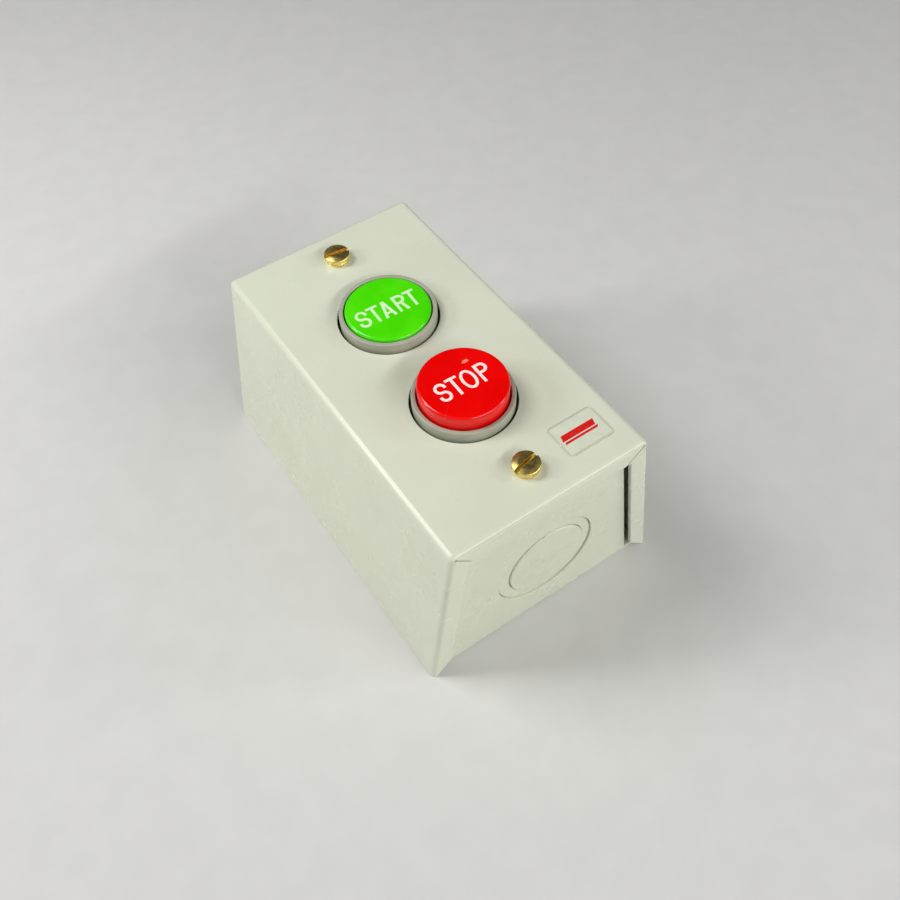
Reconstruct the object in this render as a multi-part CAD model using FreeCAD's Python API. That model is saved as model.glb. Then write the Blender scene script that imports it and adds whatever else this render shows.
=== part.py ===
import FreeCAD, Part

# Two-button START / STOP control station for surface mounting.
# Frame: origin at the centre of the back plane, +X to the right when the legends are read,
# +Y up the station (START end), +Z out of the front face.  All sizes in millimetres.

import math
import os

V = FreeCAD.Vector
X_DIR = V(1, 0, 0)
Y_DIR = V(0, 1, 0)
Z_DIR = V(0, 0, 1)

# ---------------------------------------------------------------- driving dimensions
FRONT_WIDTH = 54.4
BACK_WIDTH = 69.3
LENGTH = 103.7
DEPTH = 51.2
SHEET = 1.2
FOLD_RADIUS = 1.4
FIT_GAP = 0.35

LIP_DEPTH = 5.5
FLANGE_WIDTH = 5.2
FLANGE_FOOT = 4.6
MITRE_SLIT = 0.45

START_Y = 16.15
STOP_Y = -17.15
SCREW_SPACING = 83.3

TRAVEL = 3.5
CAP_RADIUS = 10.97
CAP_CROWN = 2.2
CAP_WALL = 1.3
CAP_BOSS_RADIUS = 4.4
START_PROUD = 3.0
STOP_PROUD = 6.3
GUARD_RADIUS = 12.43
GUARD_PROUD = 2.45
COVER_HOLE_RADIUS = 13.05

KNOCKOUT_X = 0.5
KNOCKOUT_Z = 22.4
RING_RADIUS = 14.1
DISC_RADIUS = 11.1
KNOCKOUT_SLIT = 0.1
DISC_SHIFT = (0.6, -0.7)
RING_RECESS = 0.5
DISC_RECESS = 0.1
TIE_WIDTH = 2.4

WALL_HOLE_RADIUS = 2.6
WALL_HOLE_X = 19.05
WALL_HOLE_Y = 38.1

LABEL_X = (9.9, 22.7)
LABEL_Y = (-45.4, -36.0)
LABEL_THICKNESS = 0.2
LABEL_CORNER = 1.3

# ---------------------------------------------------------------- levels that follow
FLARE = (BACK_WIDTH - FRONT_WIDTH) / 2
COVER_INNER = DEPTH - SHEET
END_WALL_Y = LENGTH / 2 - SHEET - FIT_GAP
WALL_TOP = COVER_INNER - 0.05
WALL_SIDE_GAP = 0.85

EAR_TOP = 46.4
EAR_WIDTH = 20.0
EAR_REACH = 35.6
YOKE_TOP = EAR_TOP + SHEET
GUARD_FLANGE = 1.8
GUARD_FLANGE_RADIUS = 13.6
GUIDE_TOP = EAR_TOP - GUARD_FLANGE
BORE_RADIUS = 11.4
FLOOR_TOP = 41.0
FLOOR_BOTTOM = 38.0
YOKE_HALF_WIDTH = 16.0
TONGUE_HALF_WIDTH = 9.5
TONGUE_REACH = 46.8

PARTING = 31.0
BODY_BOTTOM = 16.5
BODY_FLOOR = 18.5
BLOCK_Y = (START_Y + STOP_Y) / 2
BLOCK_HALF_X = 14.5
BLOCK_HALF_Y = 33.0
CHAMBER_HALF_X = 12.7
CHAMBER_HALF_Y = 6.5
WING_REACH = 25.0
WING_HALF_Y = 5.4
WING_BOTTOM = 20.0
STRIP = 0.8
STRIP_HALF_Y = 2.5
ARM_END = 6.2
TERMINAL_X = 20.0
TERMINAL_HOLE_RADIUS = 1.9
BLOCK_SCREW_X = 11.0
BLOCK_SCREW_Y = 29.5

CARRIER_TOP = FLOOR_BOTTOM - 0.05
CARRIER_BOTTOM = 23.5
CARRIER_HALF_X = 3.0
CARRIER_HALF_Y = 4.5
WINDOW_TOP = 35.0
WINDOW_BOTTOM = 28.5
WINDOW_HALF_Y = 2.15
BRIDGE = 0.8
BRIDGE_HALF_X = 9.8
BRIDGE_HALF_Y = 2.0
TIP = 0.8
TIP_RADIUS = 1.5
TIP_X = 8.0
CONTACT_GAP = 0.05
STEM_RADIUS = 3.0
STEM_END = 2.6
SHAFT_CLEARANCE = 0.06

COVER_SCREW_RADIUS = 2.08
COVER_SCREW_HEAD = 3.4
COVER_SCREW_HEAD_HEIGHT = 2.7
COVER_SCREW_COLLAR = 3.1
COVER_SCREW_LENGTH = 11.0
COVER_SCREW_HOLE = 2.35
THREAD_CLEARANCE = 0.07
TOP_SLOT_TURN = -8.0
BOTTOM_SLOT_TURN = 11.0
SLOT_WIDTH = 1.0
RETAINER_RADIUS = 3.8

SMALL_SCREW_RADIUS = 1.7
SMALL_SCREW_HOLE = 1.85
SMALL_HEAD = (2.6, 1.7)
YOKE_SCREW_PLACES = [(6.5, -39.0), (-6.5, 39.0)]
YOKE_SCREW_LENGTH = 7.0
BLOCK_SCREW_RADIUS = 1.75
BLOCK_SCREW_LENGTH = 24.0
TERMINAL_HEAD = (3.6, 2.1)
TERMINAL_SCREW_RADIUS = 1.75
TERMINAL_SCREW_LENGTH = 9.0
CLAMP = 1.0
CLAMP_HALF = 3.9

GROUND_SCREW_PLACE = (-20.0, -24.0)
GROUND_SCREW_HOLE = 2.1
GROUND_SCREW_RADIUS = 2.05
GROUND_HEXAGON_RADIUS = 4.0
GROUND_WASHER_RADIUS = 5.0

RETURN_SPRING = {"mean_radius": 6.4, "wire_radius": 0.45}
RETURN_TURNS = {"start": 5.5, "stop": 6.0}
CONTACT_SPRING = {"mean_radius": 1.45, "wire_radius": 0.28, "turns": 4}

LEGEND_DEPTH = 0.4
LEGEND_STROKE = 0.74
LETTER_HEIGHT = 5.75
LETTER_OVERSHOOT = 0.1
LETTER_WIDTHS = {"S": 3.15, "T": 3.1, "A": 3.2, "R": 3.1, "O": 3.8, "P": 3.05}
LETTER_PLACES = {"START": (-7.15, -3.75, -0.5, 3.55, 6.8), "STOP": (-5.6, -2.13, 1.56, 5.7)}
LEGEND_LIFT = {"START": -0.34, "STOP": -0.1}
LEGEND_TURN = {"START": -2.6, "STOP": -0.8}
CAP_EDGE = 0.8


# ---------------------------------------------------------------- plain solids
def block(x0, x1, y0, y1, z0, z1):
    return Part.makeBox(x1 - x0, y1 - y0, z1 - z0, V(x0, y0, z0))


def rod(radius, z0, z1, x=0.0, y=0.0):
    return Part.makeCylinder(radius, z1 - z0, V(x, y, z0), Z_DIR)


def tube(outer, inner, z0, z1, x=0.0, y=0.0):
    return rod(outer, z0, z1, x, y).cut(rod(inner, z0, z1, x, y))


def polygon_face(points):
    return Part.Face(Part.makePolygon(points + points[:1]))


def mirrored_y(shape):
    return shape.mirror(V(0, 0, 0), Y_DIR)


def mirrored_x(shape):
    return shape.mirror(V(0, 0, 0), X_DIR)


def turned(profile, x=0.0, y=0.0):
    """Solid of revolution about the Z line through (x, y); profile holds (radius, z) pairs."""
    points = [V(x + radius, y, z) for radius, z in profile]
    return polygon_face(points).revolve(V(x, y, 0), Z_DIR, 360)


def edges_at_height(shape, z):
    found = []
    for edge in shape.Edges:
        if all(abs(vertex.Z - z) < 1e-4 for vertex in edge.Vertexes):
            found.append(edge)
    return found


def upright_edges(shape):
    return [edge for edge in shape.Edges if abs(edge.Vertexes[0].Z - edge.Vertexes[-1].Z) > 1e-3]


def rounded_block(x0, x1, y0, y1, z0, z1, radius):
    solid = block(x0, x1, y0, y1, z0, z1)
    return solid.makeFillet(radius, upright_edges(solid))


def side_x(z):
    """Outer half width of the cover at height z."""
    return FRONT_WIDTH / 2 + FLARE * (DEPTH - z) / DEPTH


# ---------------------------------------------------------------- cover
def flared_block(inset, bottom, radius):
    """The tapered block inside the cover's outer skin, moved inwards by inset."""
    slant = math.hypot(FLARE, DEPTH) / DEPTH
    top = DEPTH - inset
    half_length = LENGTH / 2 - inset
    top_x = side_x(top) - inset * slant
    bottom_x = side_x(bottom) - inset * slant
    section = [
        V(-bottom_x, -half_length, bottom),
        V(bottom_x, -half_length, bottom),
        V(top_x, -half_length, top),
        V(-top_x, -half_length, top),
    ]
    solid = polygon_face(section).extrude(Y_DIR * (2 * half_length))
    return solid.makeFillet(radius, edges_at_height(solid, top) + upright_edges(solid))


def flange_edge_x(z):
    return side_x(z) - FLANGE_WIDTH


def end_window():
    """Opening in the end skin below the lip and between the two flanges."""
    lip_z = DEPTH - LIP_DEPTH
    foot_x = side_x(0) - SHEET - 0.2
    half = [
        V(foot_x, 0, -2),
        V(foot_x, 0, 0.3),
        V(flange_edge_x(FLANGE_FOOT), 0, FLANGE_FOOT),
        V(flange_edge_x(lip_z - 1.0), 0, lip_z - 1.0),
        V(flange_edge_x(lip_z - 1.0), 0, lip_z),
    ]
    other_half = [V(-point.x, 0, point.z) for point in reversed(half)]
    face = polygon_face(half + other_half)
    face.translate(V(0, -LENGTH / 2 - 1, 0))
    return face.extrude(Y_DIR * (SHEET + 1.5))


def mitre_slit():
    """Slit between lip and right-hand flange, along the 45 degree line from the front corner."""
    corner = V(FRONT_WIDTH / 2 - 1.1, -LENGTH / 2 - 1, DEPTH - 1.1)
    inner = V(flange_edge_x(DEPTH - LIP_DEPTH) - 1.5, corner.y, DEPTH - LIP_DEPTH - 0.2)
    along = (inner - corner).normalize()
    across = V(-along.z, 0, along.x) * (MITRE_SLIT / 2)
    face = polygon_face([corner + across, inner + across, inner - across, corner - across])
    return face.extrude(Y_DIR * (SHEET + 1.5))


def make_cover():
    shell = flared_block(0, 0, FOLD_RADIUS).cut(flared_block(SHEET, -2, 0.3))
    cuts = []
    for cut in (end_window(), mitre_slit(), mirrored_x(mitre_slit())):
        cuts += [cut, mirrored_y(cut)]
    for y in (START_Y, STOP_Y):
        cuts.append(rod(COVER_HOLE_RADIUS, COVER_INNER - 1, DEPTH + 1, 0, y))
    for y in (-SCREW_SPACING / 2, SCREW_SPACING / 2):
        cuts.append(rod(COVER_SCREW_HOLE, COVER_INNER - 1, DEPTH + 1, 0, y))
    return shell.cut(cuts)


def make_label():
    return rounded_block(*LABEL_X, *LABEL_Y, DEPTH, DEPTH + LABEL_THICKNESS, LABEL_CORNER)


# ---------------------------------------------------------------- base
def end_wall_blank():
    """End wall at the -Y end, parallel to the flanges of the cover, up to the folded ear."""
    def half_width(z):
        return flange_edge_x(z) - WALL_SIDE_GAP

    outline = [
        V(-half_width(0), 0, 0),
        V(half_width(0), 0, 0),
        V(half_width(WALL_TOP), 0, WALL_TOP),
        V(-half_width(WALL_TOP), 0, WALL_TOP),
    ]
    face = polygon_face(outline)
    face.translate(V(0, -END_WALL_Y, 0))
    wall = face.extrude(Y_DIR * SHEET)
    notch = block(-EAR_WIDTH / 2, EAR_WIDTH / 2, -END_WALL_Y - 1, -END_WALL_Y + SHEET + 1,
                  EAR_TOP, WALL_TOP + 1)
    return wall.cut(notch)


def ear():
    """Tab folded inwards from the end wall; the cover screw threads into its drawn collar."""
    screw_y = -SCREW_SPACING / 2
    tab = block(-EAR_WIDTH / 2, EAR_WIDTH / 2, -END_WALL_Y, -EAR_REACH, EAR_TOP - SHEET, EAR_TOP)
    collar = rod(3.4, EAR_TOP - SHEET - 2.2, EAR_TOP - SHEET, 0, screw_y)
    thread = rod(COVER_SCREW_RADIUS + THREAD_CLEARANCE, EAR_TOP - 5, EAR_TOP + 1, 0, screw_y)
    yoke_thread = rod(SMALL_SCREW_RADIUS + 0.05, EAR_TOP - 5, EAR_TOP + 1, *YOKE_SCREW_PLACES[0])
    return tab.fuse(collar).cut([thread, yoke_thread])


def knockout_axis(radius, y0, y1, shift=(0.0, 0.0)):
    centre = V(KNOCKOUT_X + shift[0], y0, KNOCKOUT_Z + shift[1])
    return Part.makeCylinder(radius, y1 - y0, centre, Y_DIR)


def make_base():
    plate_x = side_x(SHEET) - SHEET * 1.02 - FIT_GAP
    plate = rounded_block(-plate_x, plate_x, -END_WALL_Y, END_WALL_Y, 0, SHEET, 1.5)
    wall = end_wall_blank().cut(knockout_axis(RING_RADIUS, -END_WALL_Y - 1, -END_WALL_Y + SHEET + 1))
    end = wall.fuse(ear())
    other_end = end.copy()
    other_end.rotate(V(0, 0, 0), Z_DIR, 180)
    base = plate.fuse([end, other_end]).removeSplitter()
    folds = []
    for edge in edges_at_height(base, 0):
        if all(abs(abs(vertex.Y) - END_WALL_Y) < 1e-4 for vertex in edge.Vertexes):
            folds.append(edge)
    base = base.makeFillet(0.8, folds)
    holes = [rod(GROUND_SCREW_HOLE, -1, SHEET + 1, *GROUND_SCREW_PLACE)]
    for x in (-WALL_HOLE_X, WALL_HOLE_X):
        for y in (-WALL_HOLE_Y, WALL_HOLE_Y):
            holes.append(rod(WALL_HOLE_RADIUS, -1, SHEET + 1, x, y))
    return base.cut(holes)


def knockout_ring():
    """Outer knockout of the -Y wall: pressed in a little and held by two ties."""
    front = -END_WALL_Y + RING_RECESS
    ring = knockout_axis(RING_RADIUS - KNOCKOUT_SLIT, front, front + SHEET)
    ring = ring.cut(knockout_axis(DISC_RADIUS, front - 1, front + SHEET + 1, DISC_SHIFT))
    ties = []
    for side in (-1, 1):
        inner_x = KNOCKOUT_X + side * (RING_RADIUS - 1.0)
        outer_x = KNOCKOUT_X + side * (RING_RADIUS + 0.5)
        tie = block(min(inner_x, outer_x), max(inner_x, outer_x), front, -END_WALL_Y + SHEET,
                    KNOCKOUT_Z - TIE_WIDTH / 2, KNOCKOUT_Z + TIE_WIDTH / 2)
        ties.append(tie.common(knockout_axis(RING_RADIUS, front, front + SHEET)))
    return ring.fuse(ties).removeSplitter()


def knockout_disc():
    """Inner knockout: almost level with the wall, held to the ring by ties above and below."""
    front = -END_WALL_Y + DISC_RECESS
    ring_front = -END_WALL_Y + RING_RECESS
    disc = knockout_axis(DISC_RADIUS - KNOCKOUT_SLIT, front, front + SHEET, DISC_SHIFT)
    ties = []
    for side in (-1, 1):
        near = KNOCKOUT_Z + DISC_SHIFT[1] + side * (DISC_RADIUS - 1.0)
        far = KNOCKOUT_Z + DISC_SHIFT[1] + side * (DISC_RADIUS + 0.5)
        middle_x = KNOCKOUT_X + DISC_SHIFT[0]
        tie = block(middle_x - TIE_WIDTH / 2, middle_x + TIE_WIDTH / 2, ring_front, front + SHEET,
                    min(near, far), max(near, far))
        ties.append(tie.common(knockout_axis(DISC_RADIUS, front, front + SHEET, DISC_SHIFT)))
    return disc.fuse(ties).removeSplitter()


def at_other_end(shape):
    copy = shape.copy()
    copy.rotate(V(0, 0, 0), Z_DIR, 180)
    return copy


# ---------------------------------------------------------------- fasteners
def slotted_screw(x, y, seat, head_radius, head_height, shank_radius, length, slot_turn):
    """Slotted cheese-head screw with a domed top, head standing on the level seat."""
    dome = 0.35
    profile = [
        (0, seat - length),
        (shank_radius - 0.4, seat - length),
        (shank_radius, seat - length + 0.5),
        (shank_radius, seat),
        (head_radius - 0.15, seat),
        (head_radius, seat + 0.15),
        (head_radius, seat + head_height - dome - 0.3),
        (head_radius - 0.35, seat + head_height - dome),
        (head_radius * 0.6, seat + head_height - 0.1),
        (0, seat + head_height),
    ]
    slot = block(-head_radius - 1, head_radius + 1, -SLOT_WIDTH / 2, SLOT_WIDTH / 2,
                 seat + head_height * 0.5, seat + head_height + 1)
    slot.rotate(V(0, 0, 0), Z_DIR, slot_turn)
    slot.translate(V(x, y, 0))
    return turned(profile, x, y).cut(slot)


def make_cover_screw(y, slot_turn):
    """Fillister screw with a narrower collar under the head, parted from it by a groove."""
    head = slotted_screw(0, y, DEPTH, COVER_SCREW_HEAD, COVER_SCREW_HEAD_HEIGHT,
                         COVER_SCREW_RADIUS, COVER_SCREW_LENGTH, slot_turn)
    collar_top = DEPTH + 0.85
    around_collar = tube(COVER_SCREW_HEAD + 1, COVER_SCREW_COLLAR, DEPTH - 0.1, collar_top, 0, y)
    groove = tube(COVER_SCREW_HEAD + 1, COVER_SCREW_COLLAR - 0.35, collar_top - 0.05, collar_top + 0.25, 0, y)
    return head.cut([around_collar, groove])


def make_retainer(y):
    """Push-on washer that keeps the loosened screw in the cover."""
    return tube(RETAINER_RADIUS, COVER_SCREW_RADIUS - 0.03, COVER_INNER - 0.9, COVER_INNER - 0.1, 0, y)


def pan_screws(places, seat, head, shank_radius, length):
    """One screw at each place, each with its slot left at another angle."""
    screws = []
    for number, (x, y) in enumerate(places):
        screws.append(slotted_screw(x, y, seat, *head, shank_radius, length, 25 + 40 * number))
    return Part.makeCompound(screws)


def make_ground_screw():
    """Green hexagon washer-head screw in the back plate."""
    x, y = GROUND_SCREW_PLACE
    hexagon = []
    for corner in range(6):
        angle = math.radians(60 * corner)
        hexagon.append(V(x + GROUND_HEXAGON_RADIUS * math.cos(angle),
                         y + GROUND_HEXAGON_RADIUS * math.sin(angle), SHEET))
    head = polygon_face(hexagon).extrude(Z_DIR * 2.9)
    washer = rod(GROUND_WASHER_RADIUS, SHEET, SHEET + 0.8, x, y)
    shank = rod(GROUND_SCREW_RADIUS, 0.1, SHEET, x, y)
    slot = block(x - 5, x + 5, y - 0.6, y + 0.6, SHEET + 1.7, SHEET + 4)
    return head.fuse([washer, shank]).cut(slot).removeSplitter()


# ---------------------------------------------------------------- strap and mouldings
def block_screw_places():
    y_places = (BLOCK_Y - BLOCK_SCREW_Y, BLOCK_Y + BLOCK_SCREW_Y)
    return [(x, y) for x in (-BLOCK_SCREW_X, BLOCK_SCREW_X) for y in y_places]


def terminal_places():
    return [(x, y) for x in (-TERMINAL_X, TERMINAL_X) for y in (START_Y, STOP_Y)]


def make_yoke():
    """Flat plated strap: wide over the block, with a narrower tongue on each ear."""
    middle = rounded_block(-YOKE_HALF_WIDTH, YOKE_HALF_WIDTH, BLOCK_Y - BLOCK_HALF_Y, BLOCK_Y + BLOCK_HALF_Y,
                           EAR_TOP, YOKE_TOP, 2.5)
    tongue = rounded_block(-TONGUE_HALF_WIDTH, TONGUE_HALF_WIDTH, -TONGUE_REACH, TONGUE_REACH,
                           EAR_TOP, YOKE_TOP, 3.0)
    yoke = middle.fuse(tongue).removeSplitter()
    cuts = []
    for y in (START_Y, STOP_Y):
        cuts.append(rod(GUARD_RADIUS + 0.15, EAR_TOP - 1, YOKE_TOP + 1, 0, y))
    for y in (-SCREW_SPACING / 2, SCREW_SPACING / 2):
        cuts.append(rod(2.8, EAR_TOP - 1, YOKE_TOP + 1, 0, y))
    for x, y in block_screw_places() + YOKE_SCREW_PLACES:
        cuts.append(rod(SMALL_SCREW_HOLE, EAR_TOP - 1, YOKE_TOP + 1, x, y))
    return yoke.cut(cuts)


def moulding(z0, z1):
    return rounded_block(-BLOCK_HALF_X, BLOCK_HALF_X, BLOCK_Y - BLOCK_HALF_Y, BLOCK_Y + BLOCK_HALF_Y,
                         z0, z1, 1.5)


def chamber(y, z0, z1):
    return block(-CHAMBER_HALF_X, CHAMBER_HALF_X, y - CHAMBER_HALF_Y, y + CHAMBER_HALF_Y, z0, z1)


def make_block_guide():
    """Upper moulding: a wide bore for each cap, a guide hole for each stem, a contact chamber below."""
    guide = moulding(PARTING, GUIDE_TOP)
    cuts = []
    for y in (START_Y, STOP_Y):
        cuts.append(rod(BORE_RADIUS, FLOOR_TOP, GUIDE_TOP + 1, 0, y))
        cuts.append(rod(STEM_RADIUS + SHAFT_CLEARANCE, FLOOR_BOTTOM - 1, FLOOR_TOP + 1, 0, y))
        cuts.append(chamber(y, PARTING - 1, FLOOR_BOTTOM))
        cuts.append(block(-20, 20, y - STRIP_HALF_Y - 0.1, y + STRIP_HALF_Y + 0.1,
                          PARTING - 1, PARTING + STRIP))
    for x, y in block_screw_places():
        cuts.append(rod(SMALL_SCREW_HOLE, PARTING - 1, GUIDE_TOP + 1, x, y))
    return guide.cut(cuts)


def make_block_body():
    """Lower moulding with an open chamber under each operator and a wing for each terminal."""
    body = moulding(BODY_BOTTOM, PARTING)
    wings = []
    ribs = []
    for y in (START_Y, STOP_Y):
        wings.append(block(-WING_REACH, WING_REACH, y - WING_HALF_Y, y + WING_HALF_Y,
                           WING_BOTTOM, PARTING))
        for edge in (y - WING_HALF_Y - 1.2, y + WING_HALF_Y):
            ribs.append(block(-WING_REACH, WING_REACH, edge, edge + 1.2, WING_BOTTOM, PARTING + 3.0))
    inner_space = block(-BLOCK_HALF_X - 0.1, BLOCK_HALF_X + 0.1, -60, 60, PARTING, PARTING + 5)
    body = body.fuse(wings + ribs).cut(inner_space).removeSplitter()
    cuts = []
    for y in (START_Y, STOP_Y):
        cuts.append(chamber(y, BODY_FLOOR, PARTING + 1))
    for x, y in terminal_places():
        cuts.append(rod(TERMINAL_SCREW_RADIUS + 0.05, WING_BOTTOM + 2, PARTING + 1, x, y))
    for x, y in block_screw_places():
        cuts.append(rod(BLOCK_SCREW_RADIUS + 0.05, BODY_BOTTOM + 2, PARTING + 1, x, y))
    return body.cut(cuts)


# ---------------------------------------------------------------- terminals
def make_terminal(y, arm_z, tip_z0):
    """Right-hand contact strip: terminal plate, riser along the chamber wall, arm and silver tip."""
    inner_wall = CHAMBER_HALF_X
    plate = block(inner_wall - STRIP, WING_REACH - 0.6, -STRIP_HALF_Y, STRIP_HALF_Y, PARTING, PARTING + STRIP)
    pad = block(BLOCK_HALF_X + 0.6, WING_REACH - 0.6, -4.2, 4.2, PARTING, PARTING + STRIP)
    riser = block(inner_wall - STRIP, inner_wall, -STRIP_HALF_Y, STRIP_HALF_Y,
                  min(arm_z, PARTING), max(arm_z + STRIP, PARTING + STRIP))
    arm = block(ARM_END, inner_wall, -STRIP_HALF_Y, STRIP_HALF_Y, arm_z, arm_z + STRIP)
    tip = rod(TIP_RADIUS, tip_z0, tip_z0 + TIP, TIP_X, 0)
    strip = plate.fuse([pad, riser, arm, tip]).removeSplitter()
    strip = strip.cut(rod(TERMINAL_HOLE_RADIUS, PARTING - 1, PARTING + 2, TERMINAL_X, 0))
    strip.translate(V(0, y, 0))
    return strip


def make_terminal_clamps():
    """Square saddles under the terminal screws, each with a shallow groove for the wire."""
    clamps = []
    low = PARTING + STRIP
    for x, y in terminal_places():
        saddle = block(x - CLAMP_HALF, x + CLAMP_HALF, y - CLAMP_HALF, y + CLAMP_HALF, low, low + CLAMP)
        groove = block(x - 4, x + 4, y - 1.0, y + 1.0, low - 1, low + 0.25)
        clamps.append(saddle.cut([groove, rod(TERMINAL_HOLE_RADIUS, low - 1, low + 2, x, y)]))
    return Part.makeCompound(clamps)


# ---------------------------------------------------------------- operators
def make_guard_ring(y):
    """Grey ring round the cap; its flange is held between strap and moulding."""
    top = DEPTH + GUARD_PROUD
    profile = [
        (CAP_RADIUS + 0.33, GUIDE_TOP),
        (GUARD_FLANGE_RADIUS, GUIDE_TOP),
        (GUARD_FLANGE_RADIUS, EAR_TOP),
        (GUARD_RADIUS, EAR_TOP),
        (GUARD_RADIUS, top - 0.3),
        (GUARD_RADIUS - 0.3, top),
        (CAP_RADIUS + 0.53, top),
        (CAP_RADIUS + 0.33, top - 0.2),
    ]
    return turned(profile, 0, y)


def make_cap_blank(y, proud):
    """Hollow cap with rounded rim and a socket for the stem."""
    top = DEPTH + proud
    skirt = EAR_TOP + 0.1
    body = rod(CAP_RADIUS, skirt, top, 0, y)
    body = body.makeFillet(CAP_EDGE, edges_at_height(body, top))
    hollow = tube(CAP_RADIUS - CAP_WALL, CAP_BOSS_RADIUS, skirt - 1, top - CAP_CROWN, 0, y)
    boss = rod(CAP_BOSS_RADIUS, FLOOR_TOP + TRAVEL + 0.05, skirt + 1, 0, y)
    socket = rod(STEM_RADIUS - 0.03, FLOOR_TOP, top - STEM_END, 0, y)
    return body.cut(hollow).fuse(boss).cut(socket).removeSplitter()


def make_plunger(y, proud):
    """Round stem above, contact carrier with a window below."""
    stem = rod(STEM_RADIUS, CARRIER_TOP, DEPTH + proud - STEM_END, 0, y)
    carrier = block(-CARRIER_HALF_X, CARRIER_HALF_X, y - CARRIER_HALF_Y, y + CARRIER_HALF_Y,
                    CARRIER_BOTTOM, CARRIER_TOP)
    window = block(-10, 10, y - WINDOW_HALF_Y, y + WINDOW_HALF_Y, WINDOW_BOTTOM, WINDOW_TOP)
    return stem.fuse(carrier).cut(window).removeSplitter()


def make_bridge(y, bar_z, tip_z0):
    bar = rounded_block(-BRIDGE_HALF_X, BRIDGE_HALF_X, y - BRIDGE_HALF_Y, y + BRIDGE_HALF_Y,
                        bar_z, bar_z + BRIDGE, 0.8)
    tips = [rod(TIP_RADIUS, tip_z0, tip_z0 + TIP, x, y) for x in (-TIP_X, TIP_X)]
    return bar.fuse(tips).removeSplitter()


def make_spring(y, z0, z1, mean_radius, wire_radius, turns):
    """Compression spring of constant pitch between the levels z0 and z1."""
    height = z1 - z0 - 2 * wire_radius
    helix = Part.makeHelix(height / turns, height, mean_radius)
    section = Part.Wire(Part.makeCircle(wire_radius, V(mean_radius, 0, 0), Y_DIR))
    spring = Part.Wire(helix.Edges).makePipeShell([section], True, True)
    spring.translate(V(0, y, z0 + wire_radius))
    return spring


# ---------------------------------------------------------------- legends
def slanted_bar(x0, y0, x1, y1, width):
    """Stroke cut off level at both ends; width is measured level."""
    half = V(width / 2, 0, 0)
    start = V(x0, y0, 0)
    end = V(x1, y1, 0)
    return polygon_face([start - half, start + half, end + half, end - half]).extrude(Z_DIR)


def oval(cx, cy, rx, ry):
    """Filled ellipse one unit thick."""
    disc = Part.makeCylinder(1, 1)
    matrix = FreeCAD.Matrix()
    matrix.scale(rx, ry, 1)
    disc = disc.transformGeometry(matrix)
    disc.translate(V(cx, cy, 0))
    return disc


def oval_ring(cx, cy, rx, ry, stroke):
    """Ring whose centre line is the ellipse rx, ry."""
    outer = oval(cx, cy, rx + stroke / 2, ry + stroke / 2)
    return outer.cut(oval(cx, cy, rx - stroke / 2, ry - stroke / 2))


def letter_s(w, h, s):
    rx = (w - s) / 2
    ry = (h - s) / 4
    upper_y = h / 2 + ry
    lower_y = h / 2 - ry
    upper = oval_ring(0, upper_y, rx, ry, s).cut(block(0, w, 0, upper_y - s * 0.35, 0, 1))
    lower = oval_ring(0, lower_y, rx, ry, s).cut(block(-w, 0, lower_y + s * 0.35, h, 0, 1))
    return upper.fuse(lower)


def letter_t(w, h, s):
    return block(-w / 2, w / 2, h - s, h, 0, 1).fuse(block(-s / 2, s / 2, 0, h, 0, 1))


def letter_a(w, h, s):
    foot = w / 2 - s * 0.53
    left = slanted_bar(-foot, 0, -s * 0.08, h, s * 1.06)
    right = slanted_bar(foot, 0, s * 0.08, h, s * 1.06)
    return left.fuse([right, block(-w * 0.28, w * 0.28, h * 0.2, h * 0.2 + s * 0.85, 0, 1)])


def bowl(w, h, s):
    """The half ring at the top of P and R, joined to the stem."""
    height = h * 0.54
    radius = height / 2
    middle_y = h - radius
    outer = Part.makeCylinder(radius, 1, V(w / 2 - radius, middle_y, 0))
    outer = outer.fuse(block(-w / 2, w / 2 - radius, h - height, h, 0, 1))
    inner = Part.makeCylinder(radius - s, 1, V(w / 2 - radius, middle_y, 0))
    inner = inner.fuse(block(-w / 2 + s, w / 2 - radius, h - height + s, h - s, 0, 1))
    return outer.cut(inner)


def letter_p(w, h, s):
    return block(-w / 2, -w / 2 + s, 0, h, 0, 1).fuse(bowl(w, h, s))


def letter_r(w, h, s):
    leg = slanted_bar(w / 2 - s * 0.9, 0, w * 0.06, h * 0.5, s * 1.1)
    return letter_p(w, h, s).fuse(leg)


def letter_o(w, h, s):
    return oval_ring(0, h / 2, (w - s) / 2, (h - s) / 2 + LETTER_OVERSHOOT, s)


LETTERS = {"S": letter_s, "T": letter_t, "A": letter_a, "R": letter_r, "O": letter_o, "P": letter_p}


def make_legend(text, y, top):
    """Letters side by side near the button's centre, LEGEND_DEPTH deep from its top."""
    letters = []
    for character, place in zip(text, LETTER_PLACES[text]):
        letter = LETTERS[character](LETTER_WIDTHS[character], LETTER_HEIGHT, LEGEND_STROKE).removeSplitter()
        letter.translate(V(place, -LETTER_HEIGHT / 2, 0))
        letters.append(letter)
    matrix = FreeCAD.Matrix()
    matrix.scale(1, 1, LEGEND_DEPTH)
    legend = Part.makeCompound([letter.transformGeometry(matrix) for letter in letters])
    legend.rotate(V(0, 0, 0), Z_DIR, LEGEND_TURN[text])
    legend.translate(V(0, y + LEGEND_LIFT[text], top - LEGEND_DEPTH))
    return legend


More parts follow.
